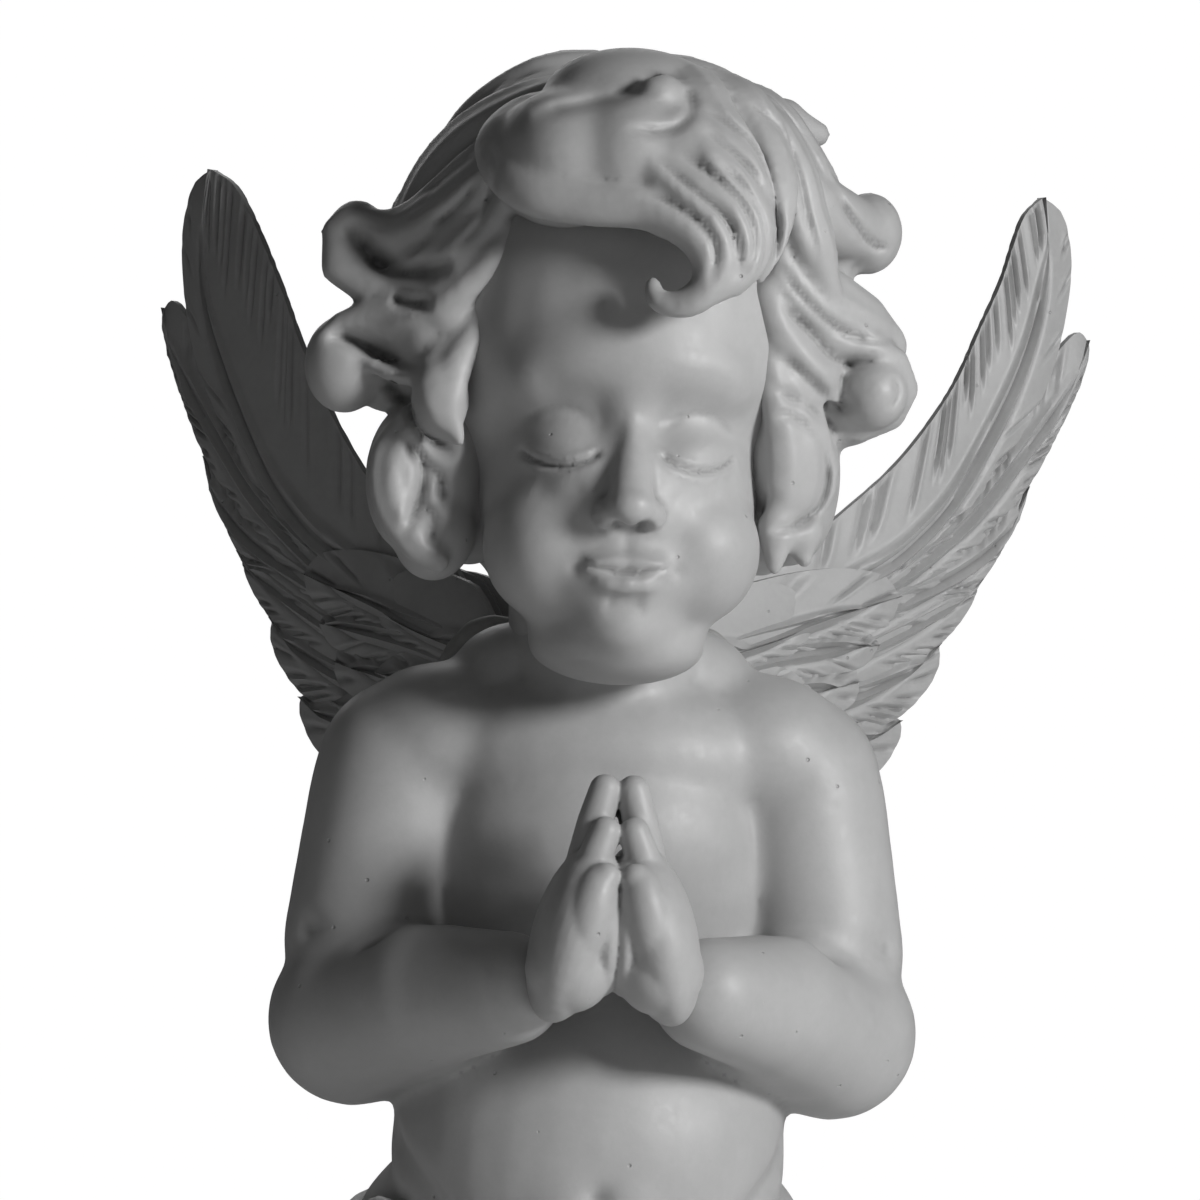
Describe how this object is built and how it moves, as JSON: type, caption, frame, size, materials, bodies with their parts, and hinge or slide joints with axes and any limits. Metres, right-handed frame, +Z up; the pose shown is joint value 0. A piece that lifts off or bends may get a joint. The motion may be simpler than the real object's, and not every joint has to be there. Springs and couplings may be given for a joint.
{
  "type": "cherub figurine",
  "caption": "Kneeling winged cherub with praying hands, cast in pieces and pinned together on an oval plinth with a felt underside.",
  "frame": {"origin": "centre of the felt's underside, on the surface the figurine stands on", "axes": "+Z up, -Y is the way the figure faces, +X towards the viewer's right"},
  "size_m": [0.1898, 0.1735, 0.2978],
  "materials": {
    "painted_resin": "satin grey paint over cold-cast stone-filled resin",
    "epoxy_filler": "epoxy filler under the same paint",
    "steel": "drawn wire and zinc-plated screws",
    "beech": "plain turned dowel",
    "felt": "dark grey wool felt"
  },
  "bodies": {
    "root": {"felt_pad": "felt", "plinth_casting": "painted_resin", "body_casting": "painted_resin", "head_casting": "painted_resin", "hands_casting": "painted_resin", "neck_dowel": "beech", "left_plinth_screw": "steel", "right_plinth_screw": "steel", "left_wrist_pin": "steel", "right_wrist_pin": "steel", "left_wing_casting": "painted_resin", "right_wing_casting": "painted_resin", "left_wing_filler": "epoxy_filler", "right_wing_filler": "epoxy_filler", "left_wing_upper_pin": "steel", "left_wing_lower_pin": "steel", "right_wing_upper_pin": "steel", "right_wing_lower_pin": "steel"}
  },
  "joints": []
}
